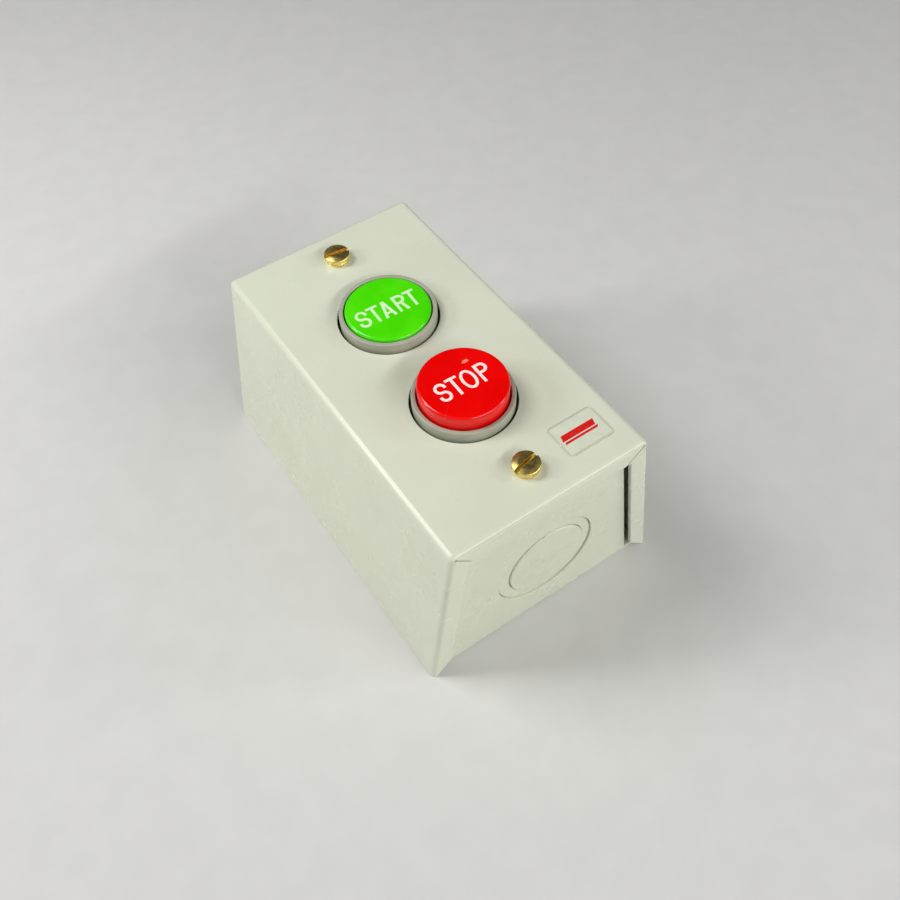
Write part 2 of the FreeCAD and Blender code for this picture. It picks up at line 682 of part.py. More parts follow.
# ---------------------------------------------------------------- the assembly
def operator_pieces(name, y, proud, normally_open):
    """Everything that belongs to one button, keyed by node name."""
    top = DEPTH + proud
    if normally_open:
        bar_z = WINDOW_BOTTOM
        moving_tip_z = bar_z - TIP
        fixed_tip_z = moving_tip_z - TRAVEL - CONTACT_GAP - TIP
        arm_z = fixed_tip_z - STRIP
        spring_span = (bar_z + BRIDGE, WINDOW_TOP)
        legend = make_legend("START", y, top)
    else:
        bar_z = WINDOW_TOP - BRIDGE
        moving_tip_z = bar_z + BRIDGE
        fixed_tip_z = moving_tip_z + TIP + CONTACT_GAP
        arm_z = fixed_tip_z + TIP
        spring_span = (WINDOW_BOTTOM, bar_z)
        legend = make_legend("STOP", y, top)
    right = make_terminal(y, arm_z, fixed_tip_z)
    return {
        name + "_cap": make_cap_blank(y, proud).cut(legend),
        name + "_legend": legend,
        name + "_guard_ring": make_guard_ring(y),
        name + "_plunger": make_plunger(y, proud),
        name + "_bridge": make_bridge(y, bar_z, moving_tip_z),
        name + "_return_spring": make_spring(y, FLOOR_TOP, top - CAP_CROWN, turns=RETURN_TURNS[name],
                                              **RETURN_SPRING),
        name + "_contact_spring": make_spring(y, *spring_span, **CONTACT_SPRING),
        name + "_terminal_right": right,
        name + "_terminal_left": mirrored_x(right),
    }


def all_pieces():
    pieces = {
        "cover": make_cover(),
        "label": make_label(),
        "base": make_base(),
        "knockout_ring_bottom": knockout_ring(),
        "knockout_disc_bottom": knockout_disc(),
        "knockout_ring_top": at_other_end(knockout_ring()),
        "knockout_disc_top": at_other_end(knockout_disc()),
        "cover_screw_top": make_cover_screw(SCREW_SPACING / 2, TOP_SLOT_TURN),
        "cover_screw_bottom": make_cover_screw(-SCREW_SPACING / 2, BOTTOM_SLOT_TURN),
        "screw_retainer_top": make_retainer(SCREW_SPACING / 2),
        "screw_retainer_bottom": make_retainer(-SCREW_SPACING / 2),
        "ground_screw": make_ground_screw(),
        "yoke": make_yoke(),
        "yoke_screws": pan_screws(YOKE_SCREW_PLACES, YOKE_TOP, SMALL_HEAD,
                                  SMALL_SCREW_RADIUS, YOKE_SCREW_LENGTH),
        "block_guide": make_block_guide(),
        "block_body": make_block_body(),
        "block_screws": pan_screws(block_screw_places(), YOKE_TOP, SMALL_HEAD,
                                   BLOCK_SCREW_RADIUS, BLOCK_SCREW_LENGTH),
        "terminal_clamps": make_terminal_clamps(),
        "terminal_screws": pan_screws(terminal_places(), PARTING + STRIP + CLAMP, TERMINAL_HEAD,
                                      TERMINAL_SCREW_RADIUS, TERMINAL_SCREW_LENGTH),
    }
    pieces.update(operator_pieces("start", START_Y, START_PROUD, True))
    pieces.update(operator_pieces("stop", STOP_Y, STOP_PROUD, False))
    return pieces


def main():
    os.makedirs("parts", exist_ok=True)
    for name, shape in all_pieces().items():
        if not shape.isValid():
            raise ValueError(name + " is not a valid solid")
        shape.exportStep("parts/" + name + ".step")
        print(name, "solids", len(shape.Solids), "volume", round(shape.Volume, 1))


main()
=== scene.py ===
# Two-button START / STOP control station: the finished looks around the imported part.
# Everything is in metres in the part's own frame; sizes below are written as millimetres * MM.

import math

import bmesh
import bpy
from mathutils import Matrix, Vector


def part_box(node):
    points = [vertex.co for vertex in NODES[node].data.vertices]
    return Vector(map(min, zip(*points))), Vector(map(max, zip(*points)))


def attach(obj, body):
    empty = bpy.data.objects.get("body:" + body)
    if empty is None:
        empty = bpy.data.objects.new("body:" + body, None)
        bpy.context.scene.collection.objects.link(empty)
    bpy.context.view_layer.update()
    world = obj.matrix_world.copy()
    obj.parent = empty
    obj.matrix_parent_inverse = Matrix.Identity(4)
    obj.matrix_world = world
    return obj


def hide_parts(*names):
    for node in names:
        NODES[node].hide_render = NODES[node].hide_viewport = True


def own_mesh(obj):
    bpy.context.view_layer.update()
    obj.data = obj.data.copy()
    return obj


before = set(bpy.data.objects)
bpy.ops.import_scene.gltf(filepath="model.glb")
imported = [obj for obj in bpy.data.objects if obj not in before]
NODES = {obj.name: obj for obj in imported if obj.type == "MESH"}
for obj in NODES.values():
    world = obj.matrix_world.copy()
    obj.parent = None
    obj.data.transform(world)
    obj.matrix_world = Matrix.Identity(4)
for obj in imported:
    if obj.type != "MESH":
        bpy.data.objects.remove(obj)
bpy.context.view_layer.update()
MM = 0.001

# ---------------------------------------------------------------- sizes read from the frame
COVER_LOW, COVER_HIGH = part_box("cover")
DEPTH = COVER_HIGH.z
LENGTH = COVER_HIGH.y - COVER_LOW.y
BACK_HALF = COVER_HIGH.x
START_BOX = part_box("start_cap")
STOP_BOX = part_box("stop_cap")
START_Y = (START_BOX[0].y + START_BOX[1].y) / 2
STOP_Y = (STOP_BOX[0].y + STOP_BOX[1].y) / 2
CAP_RADIUS = START_BOX[1].x
SCREW_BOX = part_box("cover_screw_top")
SCREW_Y = (SCREW_BOX[0].y + SCREW_BOX[1].y) / 2
SCREW_HEAD = SCREW_BOX[1].x
LABEL_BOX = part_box("label")
YOKE_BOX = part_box("yoke")

# ---------------------------------------------------------------- sizes the boxes don't give
# Cover
SHEET = 1.2 * MM
FRONT_HALF = 27.2 * MM
FOLD_RADIUS = 1.4 * MM
FOLD_STEPS = 8
INNER_FOLD = 0.3 * MM
INNER_FOLD_STEPS = 3
LIP_DEPTH = 5.5 * MM
FLANGE_WIDTH = 5.2 * MM
FLANGE_FOOT = 4.6 * MM
MITRE_SLIT = 0.45 * MM
BUTTON_HOLE = 13.05 * MM
SCREW_HOLE = 2.35 * MM
COVER_EDGE = 0.16 * MM
SIDE_LOOP = 2.4 * MM
END_LOOP = 3.7 * MM
FOLD_BAND = 0.7 * MM
FOLD_DROP = 1.1 * MM
PAST = 1 * MM  # how far a cutter runs past the skin

# Operators
RING_TOP_RADIUS = 12.43 * MM
RING_BORE = 11.3 * MM
RING_FLANGE = 1.8 * MM
CAP_WALL = 1.3 * MM
CAP_CROWN = 2.2 * MM
CAP_BOSS = 4.4 * MM
CAP_SOCKET = 2.97 * MM
SOCKET_END = 2.6 * MM
CAP_EDGE = 0.8 * MM
SKIRT_GAP = 0.1 * MM
POCKET_RISE = 0.5 * MM
CAP_SLOTS = {"start": "green_plastic", "stop": "red_plastic"}

# Cover screws
COLLAR_RADIUS = 3.1 * MM
COLLAR_HEIGHT = 0.85 * MM
SHANK_RADIUS = 2.08 * MM
THREAD_DEPTH = 0.3 * MM
THREAD_PITCH = 0.8 * MM
THREAD_STEPS = 48
THREAD_ROWS = 6  # per turn
NECK_GAP = 0.1 * MM
NECK_LENGTH = 1.2 * MM
THREAD_START = 0.6 * MM
GROOVE_DEPTH = 0.35 * MM
GROOVE_HEIGHT = 0.25 * MM
GROOVE_EDGE = 0.05 * MM
HEAD_WALL = 0.5 * MM
HEAD_DOME = 0.12 * MM
SLOT_WIDTH = 1.0 * MM
SLOT_REACH = 5 * MM
SLOT_TURNS = {"cover_screw_top": -8.0, "cover_screw_bottom": 11.0}

# Springs
CONTACT_WIRE = 0.28 * MM
CONTACT_TURNS = 3.0
CONTACT_DEAD_TURNS = 0.5
RETURN_WIRE = 0.45 * MM
RETURN_TURNS = 4.5
RETURN_DEAD_TURNS = 1.0
COIL_STEPS = 28
WIRE_STEPS = 10

# Label print: half length, low edge and high edge of each bar
LABEL_EDGE = 0.07 * MM
LABEL_BARS = (
    (4.9 * MM, -0.35 * MM, 1.35 * MM),
    (4.9 * MM, -1.3 * MM, -0.7 * MM),
)
BAR_LEAN = 0.5 * MM
BAR_SHIFT = 0.4 * MM
INK_SUNK = 0.02 * MM
INK_THICKNESS = 0.05 * MM

# Meshing
ROUND_STEPS = 144
HOLE_STEPS = 48
EDGE_STEPS = 2
EDGE_ANGLE = 35.0
SOFT_ANGLE = 55.0
SCREW_ANGLE = 28.0
COIL_ANGLE = 50.0
WELD = 0.002 * MM
SAME_PLANE = 0.6

# Stage
FLOOR_HALF = 2.5
SOFT_BOXES = (  # name, place, width, height, power
    ("key_box", (-0.22, 0.20, 0.42), 0.22, 0.22, 1.25),
    ("left_box", (-0.60, 0.36, 0.37), 0.16, 0.16, 1.5),
    ("right_box", (0.60, -0.40, 0.37), 0.16, 0.16, 1.1),
    ("fill_box", (0.16, -0.62, 0.46), 0.66, 0.06, 2.9),
)
SKY_COLOUR = (0.95, 0.97, 1.0, 1.0)
DARK_SIDE = Vector((0.31, 0.50, 0.81)).normalized()
FADE = {"From Min": 0.2, "From Max": 0.95, "To Min": 0.3, "To Max": 0.03}
CAMERA_PLACE = Vector((-80.83, -139.95, 232.14)) * MM
CAMERA_FORWARD = Vector((0.3114, 0.5012, -0.8074))
CAMERA_RIGHT = Vector((0.82592, -0.56294, -0.03091))
SENSOR_WIDTH = 36.0
LENS = 39.43
CLIP_START = 0.01


# ---------------------------------------------------------------- mesh helpers
def link(name, data):
    """A new object in the scene with the data."""
    made = bpy.data.objects.new(name, data)
    bpy.context.scene.collection.objects.link(made)
    return made


def object_from(name, bm):
    """Turns the bmesh into an object, its faces outwards."""
    bmesh.ops.recalc_face_normals(bm, faces=bm.faces)
    mesh = bpy.data.meshes.new(name)
    bm.to_mesh(mesh)
    bm.free()
    return link(name, mesh)


def apply_modifiers(piece):
    """Turns the piece's modifiers into plain mesh."""
    graph = bpy.context.evaluated_depsgraph_get()
    mesh = bpy.data.meshes.new_from_object(piece.evaluated_get(graph))
    mesh.name = piece.name
    piece.modifiers.clear()
    piece.data = mesh


def carve(piece, cutters, operation="DIFFERENCE"):
    """Takes the cutters away from the piece, or joins them to it, and removes them."""
    for cutter in cutters:
        change = piece.modifiers.new("carve", "BOOLEAN")
        change.operation = operation
        change.solver = "EXACT"
        change.object = cutter
    apply_modifiers(piece)
    for cutter in cutters:
        bpy.data.objects.remove(cutter)


def smooth_by_angle(piece, degrees=30.0):
    """Smooth shading that keeps flat faces flat and breaks at edges sharper than the angle."""
    for polygon in piece.data.polygons:
        polygon.use_smooth = abs(polygon.normal.z) < 0.99999
    piece.data.set_sharp_from_angle(angle=math.radians(degrees))
    settle = piece.modifiers.new("settle", "WEIGHTED_NORMAL")
    settle.keep_sharp = True
    settle.weight = 100
    apply_modifiers(piece)


def finish_edges(piece, width):
    """Rounds every sharp edge, and smooths the shading of the rest."""
    rounding = piece.modifiers.new("round", "BEVEL")
    rounding.width = width
    rounding.segments = EDGE_STEPS
    rounding.limit_method = "ANGLE"
    rounding.angle_limit = math.radians(EDGE_ANGLE)
    rounding.use_clamp_overlap = False
    apply_modifiers(piece)
    smooth_by_angle(piece, SOFT_ANGLE)


def add_loops(piece, planes):
    """Adds edge loops where the planes, each a point and a normal, meet the piece."""
    bm = bmesh.new()
    bm.from_mesh(piece.data)
    for point, normal in planes:
        whole = bm.verts[:] + bm.edges[:] + bm.faces[:]
        bmesh.ops.bisect_plane(bm, geom=whole, plane_co=point, plane_no=normal)
    bm.to_mesh(piece.data)
    bm.free()


def dress(piece, body, slot, material, *nodes):
    """The piece rides on the body, stands for the nodes and wears the material."""
    piece.data.materials.clear()
    piece.data.materials.append(material)
    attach(piece, body)
    if nodes:
        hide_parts(*nodes)


def clean_copy(node, name):
    """A new object with the node's shape, welded and with its flat faces made whole."""
    bm = bmesh.new()
    bm.from_mesh(NODES[node].data)
    bmesh.ops.remove_doubles(bm, verts=bm.verts, dist=WELD)
    bmesh.ops.dissolve_limit(bm, angle_limit=math.radians(SAME_PLANE),
                             verts=bm.verts, edges=bm.edges)
    return object_from(name, bm)


def prism(points, start, depth_vector):
    """Solid made by pushing the flat polygon along depth_vector from the point start."""
    bm = bmesh.new()
    ring = [bm.verts.new(Vector(start) + point) for point in points]
    face = bm.faces.new(ring)
    pushed = bmesh.ops.extrude_face_region(bm, geom=[face])
    moved = [item for item in pushed["geom"] if isinstance(item, bmesh.types.BMVert)]
    bmesh.ops.translate(bm, verts=moved, vec=Vector(depth_vector))
    return object_from("cutter", bm)


def front_drill(radius, y, steps=ROUND_STEPS):
    """Cutter for a round hole through the cover's front, on its middle line."""
    low, high = DEPTH - SHEET - PAST, DEPTH + PAST
    bm = bmesh.new()
    place = Matrix.Translation((0, y, (low + high) / 2))
    bmesh.ops.create_cone(bm, cap_ends=True, segments=steps, radius1=radius, radius2=radius,
                          depth=high - low, matrix=place)
    return object_from("cutter", bm)


def rounded_profile(corners, steps):
    """Closed (radius, height) outline; each corner is (r, z) or (r, z, rounding radius)."""
    outline = []
    count = len(corners)
    for index, corner in enumerate(corners):
        here = Vector(corner[:2])
        rounding = corner[2] if len(corner) > 2 else 0.0
        if rounding <= 0:
            outline.append(here)
            continue
        back = (Vector(corners[index - 1][:2]) - here).normalized()
        ahead = (Vector(corners[(index + 1) % count][:2]) - here).normalized()
        half_angle = back.angle(ahead) / 2
        reach = rounding / math.tan(half_angle)
        centre = here + (back + ahead).normalized() * (rounding / math.sin(half_angle))
        first = here + back * reach - centre
        last = here + ahead * reach - centre
        for step in range(steps + 1):
            outline.append(centre + first.slerp(last, step / steps) * rounding)
    return outline


def turned(name, corners, steps=ROUND_STEPS, arc_steps=6):
    """Solid of revolution about the object's own Z axis."""
    outline = rounded_profile(corners, arc_steps)
    bm = bmesh.new()
    rings = []
    for radius, z in outline:
        if radius < 1e-7:
            rings.append([bm.verts.new((0, 0, z))])
            continue
        angles = [2 * math.pi * step / steps for step in range(steps)]
        rings.append([bm.verts.new((radius * math.cos(angle), radius * math.sin(angle), z))
                      for angle in angles])
    for ring, following in zip(rings, rings[1:] + rings[:1]):
        if len(ring) == 1 and len(following) == 1:
            continue
        centre, rim = (ring, following) if len(ring) == 1 else (following, ring)
        if len(centre) == 1 and abs(centre[0].co.z - rim[0].co.z) < 1e-9:
            bm.faces.new(rim)
            continue
        for step in range(steps):
            after = (step + 1) % steps
            if len(ring) == 1:
                bm.faces.new((ring[0], following[step], following[after]))
            elif len(following) == 1:
                bm.faces.new((ring[step], following[0], ring[after]))
            else:
                bm.faces.new((ring[step], following[step], following[after], ring[after]))
    lone = [vertex for vertex in bm.verts if not vertex.link_faces]
    bmesh.ops.delete(bm, geom=lone, context="VERTS")
    return object_from(name, bm)


def skin_tube(bm, rings):
    """Walls between neighbouring rings of vertices, and a lid on both ends."""
    count = len(rings[0])
    for ring, following in zip(rings, rings[1:]):
        for step in range(count):
            after = (step + 1) % count
            bm.faces.new((ring[step], ring[after], following[after], following[step]))
    bm.faces.new(list(reversed(rings[0])))
    bm.faces.new(rings[-1])


# ---------------------------------------------------------------- material helpers
def rgb(red, green, blue):
    """Linear colour from 0 to 255 screen values."""
    def linear(value):
        value /= 255
        return value / 12.92 if value <= 0.04045 else ((value + 0.055) / 1.055) ** 2.4

    return (linear(red), linear(green), linear(blue), 1.0)


class Finish:
    """A node material under construction: a Principled shader and helpers that add nodes to it."""

    def __init__(self, name, **values):
        self.material = bpy.data.materials.new(name)
        self.material.use_nodes = True
        self.tree = self.material.node_tree
        self.shader = self.tree.nodes["Principled BSDF"]
        for socket, value in values.items():
            self.shader.inputs[socket.replace("_", " ")].default_value = value
        self.place = self.add("TexCoord").outputs["Object"]
        self.normal = None

    def add(self, kind, inputs=None, **settings):
        made = self.tree.nodes.new("ShaderNode" + kind)
        for key, value in settings.items():
            setattr(made, key, value)
        for key, value in (inputs or {}).items():
            if isinstance(value, bpy.types.NodeSocket):
                self.tree.links.new(value, made.inputs[key])
            else:
                made.inputs[key].default_value = value
        return made

    def wire(self, output, socket):
        self.tree.links.new(output, self.shader.inputs[socket])

    def moved(self, scale=(1, 1, 1), offset=(0, 0, 0)):
        """Object coordinates stretched and shifted, so that patterns differ between uses."""
        inputs = {"Vector": self.place, "Scale": scale, "Location": offset}
        return self.add("Mapping", inputs).outputs[0]

    def noise(self, size, detail=3.0, roughness=0.5, place=None, distortion=0.0):
        """Noise from 0 to 1 with features of about the given size."""
        inputs = {"Vector": place or self.place, "Scale": 1 / size, "Detail": detail,
                  "Roughness": roughness, "Distortion": distortion}
        return self.add("TexNoise", inputs).outputs["Fac"]

    def remap(self, value, low, high, out_low=0.0, out_high=1.0):
        inputs = {"Value": value, "From Min": low, "From Max": high,
                  "To Min": out_low, "To Max": out_high}
        return self.add("MapRange", inputs, interpolation_type="SMOOTHSTEP").outputs[0]

    def math(self, operation, first, second=0.0):
        return self.add("Math", {0: first, 1: second}, operation=operation).outputs[0]

    def mix(self, share, first, second):
        made = self.add("Mix", {0: share, 6: first, 7: second}, data_type="RGBA")
        return made.outputs[2]

    def specks(self, spacing, size, share, place=None):
        """Mask of scattered ragged flecks: one cell in 1/share holds one up to the given width."""
        cells = self.add("TexVoronoi", {"Vector": place or self.place, "Scale": 1 / spacing})
        pick = self.add("SeparateColor", {"Color": cells.outputs["Color"]})
        chosen = self.math("LESS_THAN", pick.outputs[0], share)
        ragged = self.remap(self.noise(size * 0.7, 2.0, 0.6, place), 0.3, 0.7, 0.15, 1.0)
        reach = self.math("MULTIPLY", pick.outputs[1], ragged)
        reach = self.math("MULTIPLY", reach, size / spacing / 2)
        near = self.math("LESS_THAN", cells.outputs["Distance"], reach)
        return self.math("MULTIPLY", chosen, near)

    def scratches(self, spacing, width, amount, turn=(0, 0, 0), seed=0.0):
        """Mask of thin broken lines, running along the turned X axis."""
        turned_place = self.add("Mapping", {"Vector": self.place, "Rotation": turn,
                                            "Location": (seed, seed, seed)}).outputs[0]
        stretched = self.add("Mapping", {"Vector": turned_place, "Scale": (0.06, 1, 1)}).outputs[0]
        bend = self.add("TexNoise", {"Vector": turned_place, "Scale": 0.25 / spacing,
                                     "Detail": 1.0})
        warped = self.add("MixRGB", {0: 0.0015, 1: stretched, 2: bend.outputs["Color"]},
                          blend_type="ADD")
        cells = self.add("TexVoronoi", {"Vector": warped.outputs[0], "Scale": 1 / spacing},
                         feature="DISTANCE_TO_EDGE")
        line = self.math("LESS_THAN", cells.outputs["Distance"], width / spacing)
        patches = self.noise(spacing * 1.4, 2.0, place=turned_place)
        return self.math("MULTIPLY", line, self.math("GREATER_THAN", patches, 1 - amount))

    def bump(self, height, distance):
        """Adds one layer of relief on top of those already there."""
        inputs = {"Height": height, "Distance": distance, "Strength": 1.0}
        if self.normal is not None:
            inputs["Normal"] = self.normal
        self.normal = self.add("Bump", inputs).outputs[0]
        self.wire(self.normal, "Normal")


# ---------------------------------------------------------------- materials
def enamel(name, tint, dirt=0.0, painted_fold_highlight=False):
    """Semi-gloss grey-green enamel: orange peel, faint clouding, pin specks, and a painted
    highlight in lighter spots along the folds.
    """
    look = Finish(name, IOR=1.5, Specular_IOR_Level=0.5)
    lighter = tuple(min(1.0, value * 1.035) for value in tint[:3]) + (1.0,)
    warmer = (tint[0] * 0.985, tint[1] * 0.955, tint[2] * 0.89, 1.0)
    clouds = look.remap(look.noise(19 * MM, 4.0, 0.55), 0.35, 0.68)
    colour = look.mix(clouds, tint, lighter)
    stain = look.noise(31 * MM, 5.0, 0.62, look.moved(offset=(3.1, 1.7, 0.4)))
    stain = look.remap(stain, 0.56, 0.8, 0, 0.6)
    colour = look.mix(stain, colour, warmer)
    chips = look.specks(5.5 * MM, 0.6 * MM, 0.3, look.moved(offset=(0.37, 0.11, 0.05)))
    dots = look.specks(2.3 * MM, 0.2 * MM, 0.08, look.moved(offset=(0.9, 0.4, 0.2)))
    colour = look.mix(look.math("MULTIPLY", chips, 0.55), colour, rgb(122, 112, 88))
    colour = look.mix(look.math("MULTIPLY", dots, 0.5), colour, rgb(140, 130, 104))
    if dirt > 0:
        grime = look.remap(look.noise(5 * MM, 6.0, 0.7), 0.4, 0.75, 0, dirt)
        colour = look.mix(grime, colour, rgb(132, 122, 98))
    # Painted highlight: lighter spots along the folds stand in for the bright lines that light
    # makes on them.
    if painted_fold_highlight:
        wear_and_highlight = look.math("MULTIPLY", fold_mask(look), look.specks(1.6 * MM, 0.9 * MM, 0.3))
        colour = look.mix(look.math("MULTIPLY", wear_and_highlight, 0.8), colour, rgb(232, 228, 214))
    look.wire(colour, "Base Color")
    gloss = look.remap(look.noise(11 * MM, 3.0, 0.5), 0.3, 0.72, 0.25, 0.29)
    look.wire(look.math("ADD", gloss, look.math("MULTIPLY", chips, 0.1)), "Roughness")
    look.bump(look.noise(1.5 * MM, 2.0, 0.4), 0.003 * MM)
    look.bump(look.noise(0.35 * MM, 2.0, 0.5), 0.001 * MM)
    look.bump(look.math("SUBTRACT", 1.0, chips), 0.003 * MM)
    return look.material


def fold_mask(look):
    """1 along the front's folds and 0 elsewhere."""
    part = look.add("SeparateXYZ", {"Vector": look.place})
    sideways = look.math("ABSOLUTE", part.outputs[0])
    endways = look.math("ABSOLUTE", part.outputs[1])
    past_side = look.math("GREATER_THAN", sideways, FRONT_HALF - FOLD_BAND)
    past_end = look.math("GREATER_THAN", endways, LENGTH / 2 - FOLD_BAND)
    near_front = look.math("GREATER_THAN", part.outputs[2], DEPTH - FOLD_DROP)
    return look.math("MULTIPLY", look.math("MAXIMUM", past_side, past_end), near_front)


def button_plastic(name, deep, bright, seed, scuff=None):
    """Glossy moulded plastic with faint flow clouds, hairline scratches and dust in the gloss.

    scuff is the (x, y) place of a pale rubbed spot, from the middle of the button."""
    look = Finish(name, IOR=1.43, Coat_Weight=0.12, Coat_Roughness=0.08)
    place = look.moved(offset=(seed, seed * 0.7, 0.1))
    flow = look.remap(look.noise(9 * MM, 3.0, 0.5, place, 0.6), 0.3, 0.75)
    colour = look.mix(flow, deep, bright)
    long_marks = look.scratches(5 * MM, 0.02 * MM, 0.5, (0, 0, 0.5 + seed), seed)
    cross_marks = look.scratches(7 * MM, 0.018 * MM, 0.45, (0, 0, 2.1 + seed), seed + 0.3)
    marks = look.math("MAXIMUM", long_marks, cross_marks)
    if scuff:
        spot = scuff_mask(look, *scuff)
        colour = look.mix(look.math("MULTIPLY", spot, 0.75), colour, rgb(250, 150, 130))
        marks = look.math("MAXIMUM", marks, spot)
    look.wire(colour, "Base Color")
    haze = look.remap(look.noise(3.2 * MM, 5.0, 0.65, place), 0.38, 0.75, 0.15, 0.3)
    look.wire(look.math("ADD", haze, look.math("MULTIPLY", marks, 0.22)), "Roughness")
    look.bump(look.noise(2.4 * MM, 2.0, 0.4, place), 0.006 * MM)
    look.bump(look.math("SUBTRACT", 1.0, marks), 0.004 * MM)
    return look.material


def scuff_mask(look, x, y):
    """1 in an uneven spot about 2 mm long, and 0 round it."""
    beside = look.add("VectorMath", {0: look.place, 1: (x, y, 0)}, operation="SUBTRACT").outputs[0]
    flat = look.add("VectorMath", {0: beside, 1: (0.9, 1.6, 0)}, operation="MULTIPLY").outputs[0]
    reach = look.add("VectorMath", {0: flat}, operation="LENGTH").outputs["Value"]
    ragged = look.math("MULTIPLY", look.noise(0.9 * MM, 3.0, 0.6), 0.9 * MM)
    return look.remap(look.math("ADD", reach, ragged), 1.15 * MM, 1.35 * MM, 1, 0)


def matt_plastic(name, shade, grain=0.25, roughness=(0.38, 0.52), cloud=0.07, subsurface=0.0):
    """Fine-grained moulded plastic."""
    look = Finish(name, IOR=1.5)
    if subsurface > 0:
        look.shader.inputs["Subsurface Weight"].default_value = subsurface
        look.shader.inputs["Subsurface Radius"].default_value = (0.8 * MM, 0.6 * MM, 0.4 * MM)
    darker = tuple(value * (1 - cloud) for value in shade[:3]) + (1.0,)
    lighter = tuple(min(1.0, value * (1 + cloud)) for value in shade[:3]) + (1.0,)
    clouds = look.remap(look.noise(4.5 * MM, 4.0, 0.6), 0.32, 0.7)
    look.wire(look.mix(clouds, darker, lighter), "Base Color")
    look.wire(look.remap(look.noise(2.2 * MM, 4.0, 0.6), 0.3, 0.7, *roughness), "Roughness")
    look.bump(look.noise(grain * MM, 2.0, 0.5), 0.006 * MM)
    look.bump(look.scratches(4 * MM, 0.02 * MM, 0.45, (0, 0.4, 0.9), 0.5), -0.004 * MM)
    return look.material


def phenolic():
    """Dark brown-black moulding compound with a pale filler fleck and slow flow marks."""
    look = Finish("phenolic", IOR=1.6)
    flow = look.noise(6 * MM, 5.0, 0.65, look.moved((1, 1, 2.6)), 1.2)
    colour = look.mix(look.remap(flow, 0.34, 0.72), rgb(34, 28, 25), rgb(58, 47, 40))
    fleck = look.specks(0.9 * MM, 0.16 * MM, 0.22)
    colour = look.mix(look.math("MULTIPLY", fleck, 0.55), colour, rgb(112, 92, 70))
    look.wire(colour, "Base Color")
    look.wire(look.remap(look.noise(3 * MM, 4.0, 0.6), 0.3, 0.72, 0.26, 0.48), "Roughness")
    look.bump(look.noise(0.5 * MM, 3.0, 0.55), 0.008 * MM)
    return look.material


def plated(name, shade, worn, roughness=(0.24, 0.42)):
    """Bright plating: fine brushing, cloudy tarnish and rubbed high spots."""
    look = Finish(name, Metallic=1.0)
    tarnish = look.remap(look.noise(5 * MM, 6.0, 0.65), 0.4, 0.72)
    look.wire(look.mix(tarnish, shade, worn), "Base Color")
    brushing = look.noise(0.22 * MM, 3.0, 0.6, look.moved((1, 0.06, 1)))
    satin = look.remap(look.noise(2.6 * MM, 5.0, 0.6), 0.3, 0.7, *roughness)
    look.wire(look.math("ADD", satin, look.math("MULTIPLY", brushing, 0.08)), "Roughness")
    look.bump(brushing, 0.0035 * MM)
    look.bump(look.scratches(3 * MM, 0.02 * MM, 0.4, (0, 0, 1.1), 0.8), -0.004 * MM)
    return look.material


def turned_brass():
    """Lathe-turned brass: fine rings about the screw's axis, slight tarnish, small knocks."""
    look = Finish("turned_brass", Metallic=1.0)
    tarnish = look.remap(look.noise(1.6 * MM, 5.0, 0.6), 0.42, 0.74)
    spots = look.specks(1.3 * MM, 0.16 * MM, 0.15)
    colour = look.mix(tarnish, rgb(248, 224, 138), rgb(226, 192, 106))
    look.wire(look.mix(look.math("MULTIPLY", spots, 0.5), colour, rgb(120, 84, 38)), "Base Color")
    flat = look.moved((1, 1, 0))
    from_axis = look.add("VectorMath", {0: flat}, operation="LENGTH").outputs["Value"]
    rings = look.math("SINE", look.math("MULTIPLY", from_axis, 2 * math.pi / (0.17 * MM)))
    look.wire(look.remap(look.noise(1.2 * MM, 5.0, 0.6), 0.3, 0.72, 0.28, 0.4), "Roughness")
    look.bump(rings, 0.0012 * MM)
    look.bump(look.noise(0.6 * MM, 3.0, 0.5), 0.003 * MM)
    return look.material


def legend_fill(name, fresh, thin):
    """White filling paint, tinted by the button's colour where it is rubbed thin."""
    look = Finish(name, IOR=1.5)
    wear_and_highlight = look.remap(look.noise(1.6 * MM, 5.0, 0.65), 0.4, 0.75, 0, 0.9)
    look.wire(look.mix(wear_and_highlight, fresh, thin), "Base Color")
    look.wire(look.remap(look.noise(1.1 * MM, 3.0, 0.6), 0.3, 0.7, 0.3, 0.5), "Roughness")
    look.bump(look.noise(0.3 * MM, 2.0, 0.5), 0.006 * MM)
    return look.material


def label_film():
    """Thin film label: paler than the enamel, yellowed and a little dirty towards its edges."""
    look = Finish("label_film", IOR=1.5, Coat_Weight=0.4, Coat_Roughness=0.15)
    centre = (LABEL_BOX[0] + LABEL_BOX[1]) / 2
    half = (LABEL_BOX[1] - LABEL_BOX[0]) / 2
    part = look.add("SeparateXYZ", {"Vector": look.place})
    to_edge = []
    for axis in (0, 1):
        offset = look.math("ABSOLUTE", look.math("SUBTRACT", part.outputs[axis], centre[axis]))
        to_edge.append(look.math("SUBTRACT", half[axis], offset))
    from_border = look.math("MINIMUM", *to_edge)
    ragged = look.math("MULTIPLY", look.noise(1.4 * MM, 4.0, 0.6), 0.5 * MM)
    border = look.remap(look.math("SUBTRACT", from_border, ragged), 0.0, 0.4 * MM, 0.45, 0)
    clouds = look.remap(look.noise(3 * MM, 4.0, 0.6), 0.3, 0.7)
    colour = look.mix(clouds, rgb(214, 219, 197), rgb(221, 225, 205))
    look.wire(look.mix(border, colour, rgb(176, 170, 140)), "Base Color")
    look.wire(look.remap(look.noise(2 * MM, 4.0, 0.6), 0.3, 0.7, 0.22, 0.38), "Roughness")
    look.bump(look.noise(2.5 * MM, 3.0, 0.5), 0.015 * MM)
    return look.material


